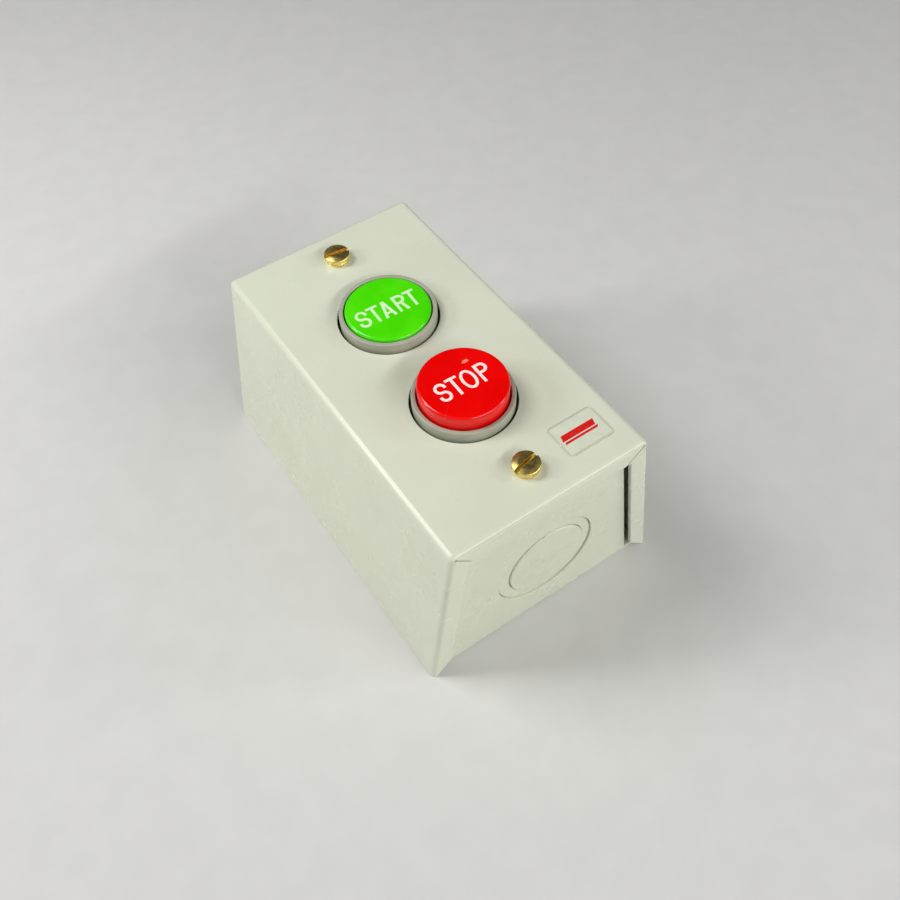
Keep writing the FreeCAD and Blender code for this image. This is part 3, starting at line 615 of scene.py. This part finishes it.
def label_ink():
    """Red print with thin, uneven cover."""
    look = Finish("label_ink", IOR=1.5)
    thin = look.remap(look.noise(0.7 * MM, 4.0, 0.7), 0.45, 0.75)
    look.wire(look.mix(thin, rgb(216, 20, 18), rgb(230, 52, 44)), "Base Color")
    look.wire(look.remap(look.noise(0.9 * MM, 3.0, 0.6), 0.3, 0.7, 0.3, 0.5), "Roughness")
    look.bump(look.noise(0.25 * MM, 2.0, 0.5), 0.003 * MM)
    return look.material


def floor_finish():
    """Pale seamless studio paper."""
    look = Finish("studio_paper", IOR=1.4)
    fibres = look.remap(look.noise(9 * MM, 3.0, 0.5), 0.3, 0.7)
    look.wire(look.mix(fibres, rgb(212, 211, 207), rgb(215, 214, 210)), "Base Color")
    look.wire(look.remap(look.noise(30 * MM, 3.0), 0.3, 0.7, 0.8, 0.9), "Roughness")
    return look.material


# ---------------------------------------------------------------- cover
def side_x(z):
    """Outer half width of the cover at height z."""
    return FRONT_HALF + (BACK_HALF - FRONT_HALF) * (DEPTH - z) / DEPTH


def flared_solid(name, inset, bottom, radius, steps):
    """The tapered block inside the cover's skin, its front and upright edges folded round."""
    slant = math.hypot(BACK_HALF - FRONT_HALF, DEPTH) / DEPTH
    top = DEPTH - inset
    half_length = LENGTH / 2 - inset
    bm = bmesh.new()
    corners = {}
    for z in (bottom, top):
        half = side_x(z) - inset * slant
        for sx, sy in ((-1, -1), (1, -1), (1, 1), (-1, 1)):
            corners[(z, sx, sy)] = bm.verts.new((sx * half, sy * half_length, z))
    around = ((-1, -1), (1, -1), (1, 1), (-1, 1))
    for z in (bottom, top):
        bm.faces.new([corners[(z, *place)] for place in around])
    for first, second in zip(around, around[1:] + around[:1]):
        bm.faces.new([corners[(bottom, *first)], corners[(bottom, *second)],
                      corners[(top, *second)], corners[(top, *first)]])
    bmesh.ops.recalc_face_normals(bm, faces=bm.faces)
    folds = [edge for edge in bm.edges if max(edge.verts[0].co.z, edge.verts[1].co.z) > top - 1e-6]
    bmesh.ops.bevel(bm, geom=folds, offset=radius, offset_type="OFFSET", segments=steps,
                    profile=0.5, affect="EDGES")
    return object_from(name, bm)


def flange_edge_x(z):
    """Half the gap between the end flanges at height z."""
    return side_x(z) - FLANGE_WIDTH


def through_end(outline, end):
    """Cutter with the outline that runs through the cover's skin at the end -1 or +1."""
    return prism(outline, (0, end * (LENGTH / 2 + PAST), 0), (0, -end * (SHEET + 1.5 * PAST), 0))


def end_window(end):
    """Cutter for the opening below the lip, between the flanges, at the end -1 or +1."""
    lip_z = DEPTH - LIP_DEPTH
    notch_z = lip_z - 1.0 * MM
    foot_x = side_x(0) - SHEET - INNER_FOLD - 0.3 * MM
    half = [
        Vector((foot_x, 0, -2 * PAST)),
        Vector((foot_x, 0, 0.3 * MM)),
        Vector((flange_edge_x(FLANGE_FOOT), 0, FLANGE_FOOT)),
        Vector((flange_edge_x(notch_z), 0, notch_z)),
        Vector((flange_edge_x(notch_z), 0, lip_z)),
    ]
    outline = half + [Vector((-point.x, 0, point.z)) for point in reversed(half)]
    return through_end(outline, end)


def mitre_slit(end, side):
    """Cutter for the slit between lip and flange, on the 45 degree line from the corner."""
    corner = Vector((FRONT_HALF - 1.1 * MM, 0, DEPTH - 1.1 * MM))
    inner = Vector((flange_edge_x(DEPTH - LIP_DEPTH) - 1.5 * MM, 0, DEPTH - LIP_DEPTH - 0.2 * MM))
    along = (inner - corner).normalized()
    across = Vector((-along.z, 0, along.x)) * (MITRE_SLIT / 2)
    outline = [corner + across, inner + across, inner - across, corner - across]
    outline = [Vector((side * point.x, 0, point.z)) for point in outline]
    return through_end(outline, end)


def make_cover(paint):
    """The folded cover: skin, end windows, mitre slits, button and screw holes."""
    cover = flared_solid("cover_shell", 0, 0, FOLD_RADIUS, FOLD_STEPS)
    cutters = [flared_solid("cutter", SHEET, -2 * PAST, INNER_FOLD, INNER_FOLD_STEPS)]
    for end in (-1, 1):
        cutters.append(end_window(end))
        for side in (-1, 1):
            cutters.append(mitre_slit(end, side))
    for y in (START_Y, STOP_Y):
        cutters.append(front_drill(BUTTON_HOLE, y))
    for y in (-SCREW_Y, SCREW_Y):
        cutters.append(front_drill(SCREW_HOLE, y, HOLE_STEPS))
    carve(cover, cutters)
    loops = [((side * (FRONT_HALF - SIDE_LOOP), 0, 0), (1, 0, 0)) for side in (-1, 1)]
    loops.append(((0, 0, DEPTH - END_LOOP), (0, 0, 1)))
    add_loops(cover, loops)
    finish_edges(cover, COVER_EDGE)
    dress(cover, "cover", "enamel", paint, "cover")


# ---------------------------------------------------------------- operators
def make_ring(name, y, plastic):
    """Guard ring: soft outer shoulder above, flange below."""
    low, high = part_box(name + "_guard_ring")
    flange_top = low.z + RING_FLANGE
    corners = [
        (RING_BORE, low.z, 0.15 * MM),
        (high.x, low.z, 0.2 * MM),
        (high.x, flange_top, 0.2 * MM),
        (RING_TOP_RADIUS, flange_top),
        (RING_TOP_RADIUS, high.z, 0.34 * MM),
        (RING_BORE, high.z, 0.24 * MM),
    ]
    ring = turned(name + "_ring", corners)
    ring.location = (0, y, 0)
    smooth_by_angle(ring)
    dress(ring, "base", "grey_plastic", plastic, name + "_guard_ring")


def make_cap(name, y, plastic, fill):
    """Cap with a soft rim and letter pockets, and the legend that fills them."""
    low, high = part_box(name + "_cap")
    skirt = YOKE_BOX[0].z + SKIRT_GAP
    corners = [
        (CAP_SOCKET, low.z, 0.1 * MM),
        (CAP_BOSS, low.z, 0.1 * MM),
        (CAP_BOSS, high.z - CAP_CROWN, 0.2 * MM),
        (CAP_RADIUS - CAP_WALL, high.z - CAP_CROWN, 0.3 * MM),
        (CAP_RADIUS - CAP_WALL, skirt, 0.15 * MM),
        (CAP_RADIUS, skirt, 0.15 * MM),
        (CAP_RADIUS, high.z, CAP_EDGE),
        (0, high.z),
        (0, high.z - SOCKET_END),
        (CAP_SOCKET, high.z - SOCKET_END),
    ]
    cap = turned(name + "_button", corners, arc_steps=8)
    legend = clean_copy(name + "_legend", name + "_lettering")
    legend.data.transform(Matrix.Translation((0, -y, 0)))
    pocket = link("pocket", legend.data.copy())
    for vertex in pocket.data.vertices:
        if vertex.co.z > high.z - 0.1 * MM:
            vertex.co.z += POCKET_RISE
    carve(cap, [pocket])
    smooth_by_angle(cap)
    smooth_by_angle(legend)
    for piece in (cap, legend):
        piece.location = (0, y, 0)
    dress(cap, name + "_button", CAP_SLOTS[name], plastic, name + "_cap")
    dress(legend, name + "_button", "white_fill", fill, name + "_legend")


def threaded_shank(low, high):
    """Closed shank with a helical thread that grows from its tip."""
    root = SHANK_RADIUS - THREAD_DEPTH
    rows = int(round((high - low) / THREAD_PITCH * THREAD_ROWS))
    bm = bmesh.new()
    rings = []
    for row in range(rows + 1):
        z = low + (high - low) * row / rows
        fade = min(1.0, (z - low) / THREAD_PITCH)
        ring = []
        for step in range(THREAD_STEPS):
            turn = step / THREAD_STEPS
            phase = (z / THREAD_PITCH - turn) % 1.0
            ridge = 1 - abs(2 * phase - 1)
            reach = root + (SHANK_RADIUS - root) * ridge * fade
            angle = 2 * math.pi * turn
            ring.append(bm.verts.new((reach * math.cos(angle), reach * math.sin(angle), z)))
        rings.append(ring)
    skin_tube(bm, rings)
    return object_from("shank", bm)


def make_cover_screw(node, y, brass):
    """Slotted fillister screw: domed head, groove, narrower collar, threaded shank."""
    low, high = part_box(node)
    neck = SHANK_RADIUS - NECK_GAP
    groove = DEPTH + COLLAR_HEIGHT
    groove_radius = COLLAR_RADIUS - GROOVE_DEPTH
    head = groove + GROOVE_HEIGHT
    corners = [
        (0, DEPTH - NECK_LENGTH),
        (neck, DEPTH - NECK_LENGTH),
        (neck, DEPTH),
        (COLLAR_RADIUS, DEPTH, 0.12 * MM),
        (COLLAR_RADIUS, groove, 0.18 * MM),
        (groove_radius, groove, GROOVE_EDGE),
        (groove_radius, head, GROOVE_EDGE),
        (SCREW_HEAD, head, 0.2 * MM),
        (SCREW_HEAD, high.z - HEAD_WALL, 0.25 * MM),
        (SCREW_HEAD * 0.6, high.z - HEAD_DOME, 2.0 * MM),
        (0, high.z),
    ]
    screw = turned(node.replace("cover_screw", "fillister_screw"), corners, steps=96, arc_steps=4)
    carve(screw, [threaded_shank(low.z, DEPTH - THREAD_START)], "UNION")
    slot_floor = DEPTH + (high.z - DEPTH) * 0.5
    slot_top = high.z + PAST
    outline = [Vector((side * SLOT_WIDTH / 2, 0, z)) for side, z in
               ((-1, slot_floor), (1, slot_floor), (1, slot_top), (-1, slot_top))]
    slot_cut = prism(outline, (0, -SLOT_REACH, 0), (0, 2 * SLOT_REACH, 0))
    slot_cut.data.transform(Matrix.Rotation(math.radians(90 + SLOT_TURNS[node]), 4, "Z"))
    carve(screw, [slot_cut])
    smooth_by_angle(screw, SCREW_ANGLE)
    screw.location = (0, y, 0)
    dress(screw, node, "brass", brass, node)


# ---------------------------------------------------------------- label
def make_label(film, ink):
    """The film on the cover, and the leaning bars printed on it."""
    label = clean_copy("label", "label_film")
    finish_edges(label, LABEL_EDGE)
    dress(label, "cover", "clear_film", film, "label")
    centre = (LABEL_BOX[0] + LABEL_BOX[1]) / 2
    start = (centre.x - BAR_SHIFT, centre.y, LABEL_BOX[1].z - INK_SUNK)
    bars = []
    for x, low, high in LABEL_BARS:
        outline = [Vector((-x, low, 0)), Vector((x - BAR_LEAN, low, 0)),
                   Vector((x, high, 0)), Vector((-x + BAR_LEAN, high, 0))]
        bars.append(prism(outline, start, (0, 0, INK_THICKNESS)))
    mark = bars[0]
    mark.name = "label_bars"
    carve(mark, bars[1:], "UNION")
    smooth_by_angle(mark)
    dress(mark, "cover", "clear_film", ink)


# ---------------------------------------------------------------- carried pieces and springs
def carry(node, body, slot, material, edge):
    """A copy of the node with softened edges, in place of the node."""
    piece = clean_copy(node, node + "_piece")
    finish_edges(piece, edge)
    dress(piece, body, slot, material, node)


def spring_mesh(name, node, wire, turns, dead_turns):
    """Compression spring with closed ends, filling the node's box."""
    low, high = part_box(node)
    centre = (low + high) / 2
    radius = (high.x - low.x) / 2 - wire
    bottom, top = low.z + wire, high.z - wire
    dead = dead_turns * 2 * wire * 1.04
    total = turns + 2 * dead_turns
    count = int(total * COIL_STEPS)
    bm = bmesh.new()
    rings = []
    for index in range(count + 1):
        turn = total * index / count
        if turn <= dead_turns:
            z = bottom + dead * turn / dead_turns
        elif turn >= total - dead_turns:
            z = top - dead * (total - turn) / dead_turns
        else:
            z = bottom + dead + (top - bottom - 2 * dead) * (turn - dead_turns) / turns
        angle = 2 * math.pi * turn
        outward = Vector((math.cos(angle), math.sin(angle), 0))
        ring = []
        for step in range(WIRE_STEPS):
            tilt = 2 * math.pi * step / WIRE_STEPS
            offset = outward * (math.cos(tilt) * wire) + Vector((0, 0, math.sin(tilt) * wire))
            ring.append(bm.verts.new(Vector((centre.x, centre.y, z)) + outward * radius + offset))
        rings.append(ring)
    skin_tube(bm, rings)
    spring = object_from(name, bm)
    smooth_by_angle(spring, COIL_ANGLE)
    return spring


# ---------------------------------------------------------------- stage
def make_stage():
    """The floor the part stands on."""
    bm = bmesh.new()
    around = ((-1, -1), (1, -1), (1, 1), (-1, 1))
    bm.faces.new([bm.verts.new((x * FLOOR_HALF, y * FLOOR_HALF, 0)) for x, y in around])
    floor = object_from("floor", bm)
    floor.data.materials.append(floor_finish())


def soft_box(name, place, width, height, power):
    """Area light that faces the middle of the cover's front."""
    data = bpy.data.lights.new(name, "AREA")
    data.shape = "RECTANGLE"
    data.size = width
    data.size_y = height
    data.energy = power
    lamp = link(name, data)
    lamp.location = place
    toward_part = Vector((0, 0, DEPTH)) - Vector(place)
    lamp.rotation_euler = toward_part.to_track_quat("-Z", "Y").to_euler()


def make_lights():
    """Soft boxes, and a dim surround that fades towards one side."""
    for soft in SOFT_BOXES:
        soft_box(*soft)
    world = bpy.data.worlds.new("studio")
    bpy.context.scene.world = world
    world.use_nodes = True
    tree = world.node_tree
    background = tree.nodes["Background"]
    background.inputs["Color"].default_value = SKY_COLOUR
    direction = tree.nodes.new("ShaderNodeTexCoord").outputs["Generated"]
    toward_dark = tree.nodes.new("ShaderNodeVectorMath")
    toward_dark.operation = "DOT_PRODUCT"
    toward_dark.inputs[1].default_value = DARK_SIDE
    tree.links.new(direction, toward_dark.inputs[0])
    fade = tree.nodes.new("ShaderNodeMapRange")
    fade.interpolation_type = "SMOOTHSTEP"
    for socket, value in FADE.items():
        fade.inputs[socket].default_value = value
    tree.links.new(toward_dark.outputs["Value"], fade.inputs["Value"])
    tree.links.new(fade.outputs["Result"], background.inputs["Strength"])


def make_camera():
    """Camera that looks down on the front from its lower left."""
    data = bpy.data.cameras.new("camera")
    data.sensor_width = SENSOR_WIDTH
    data.lens = LENS
    data.clip_start = CLIP_START
    camera = link("camera", data)
    forward = CAMERA_FORWARD.normalized()
    right = CAMERA_RIGHT.normalized()
    up = right.cross(forward)
    turn = Matrix((right, up, -forward)).transposed().to_4x4()
    camera.matrix_world = Matrix.Translation(CAMERA_PLACE) @ turn
    bpy.context.scene.camera = camera


# ---------------------------------------------------------------- the whole scene
def build():
    """Every visible piece, with its material and body."""
    paint = enamel("enamel_cover", rgb(216, 220, 199), painted_fold_highlight=True)
    base_paint = enamel("enamel_base", rgb(214, 218, 197), dirt=0.06)
    grey = matt_plastic("guard_grey", rgb(170, 171, 153), 0.3, (0.34, 0.5))
    green_white = legend_fill("start_fill", rgb(226, 250, 206), rgb(190, 240, 156))
    red_white = legend_fill("stop_fill", rgb(252, 240, 234), rgb(246, 206, 196))
    green = button_plastic("button_green", rgb(70, 222, 0), rgb(84, 234, 6), 0.13)
    red = button_plastic("button_red", rgb(236, 0, 0), rgb(246, 4, 2), 0.57,
                         scuff=(3.9 * MM, 4.9 * MM))
    brass = turned_brass()
    zinc = plated("zinc", rgb(196, 200, 204), rgb(158, 160, 160))
    green_zinc = plated("green_plating", rgb(64, 132, 70), rgb(96, 150, 92))
    spring = plated("spring_wire", rgb(150, 152, 156), rgb(104, 104, 106), (0.2, 0.36))
    contact = plated("contact_brass", rgb(214, 172, 96), rgb(170, 122, 66), (0.22, 0.4))
    moulding = phenolic()
    nylon = matt_plastic("nylon", rgb(226, 220, 200), 0.4, (0.36, 0.5), 0.04, 0.3)
    plunger = matt_plastic("plunger_black", rgb(44, 44, 46), 0.3, (0.34, 0.5), 0.12)

    make_cover(paint)
    make_label(label_film(), label_ink())
    make_cap("start", START_Y, green, green_white)
    make_cap("stop", STOP_Y, red, red_white)
    for name, y in (("start", START_Y), ("stop", STOP_Y)):
        make_ring(name, y, grey)
    make_cover_screw("cover_screw_top", SCREW_Y, brass)
    make_cover_screw("cover_screw_bottom", -SCREW_Y, brass)

    carry("base", "base", "enamel", base_paint, 0.15 * MM)
    for end in ("bottom", "top"):
        carry("knockout_ring_" + end, "base", "enamel", base_paint, 0.28 * MM)
        carry("knockout_disc_" + end, "base", "enamel", base_paint, 0.3 * MM)
        carry("screw_retainer_" + end, "cover_screw_" + end, "nylon", nylon, 0.08 * MM)
    carry("ground_screw", "base", "green_plate", green_zinc, 0.12 * MM)
    carry("yoke", "base", "zinc_plate", zinc, 0.12 * MM)
    for node in ("yoke_screws", "block_screws", "terminal_screws", "terminal_clamps"):
        carry(node, "base", "zinc_plate", zinc, 0.08 * MM)
    for node in ("block_guide", "block_body"):
        carry(node, "base", "phenolic", moulding, 0.15 * MM)
    for name in ("start", "stop"):
        for side in ("left", "right"):
            carry(name + "_terminal_" + side, "base", "contact_brass", contact, 0.06 * MM)
        carry(name + "_bridge", name + "_button", "contact_brass", contact, 0.06 * MM)
        carry(name + "_plunger", name + "_button", "plunger_plastic", plunger, 0.12 * MM)
        contact_spring = spring_mesh(name + "_contact_coil", name + "_contact_spring",
                                     CONTACT_WIRE, CONTACT_TURNS, CONTACT_DEAD_TURNS)
        dress(contact_spring, name + "_button", "spring_steel", spring, name + "_contact_spring")
        return_spring = spring_mesh(name + "_return_coil", name + "_return_spring",
                                    RETURN_WIRE, RETURN_TURNS, RETURN_DEAD_TURNS)
        dress(return_spring, name + "_button", "spring_steel", spring, name + "_return_spring")
        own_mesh(return_spring)


build()
make_stage()
make_lights()
make_camera()
bpy.context.scene.view_settings.view_transform = "Standard"
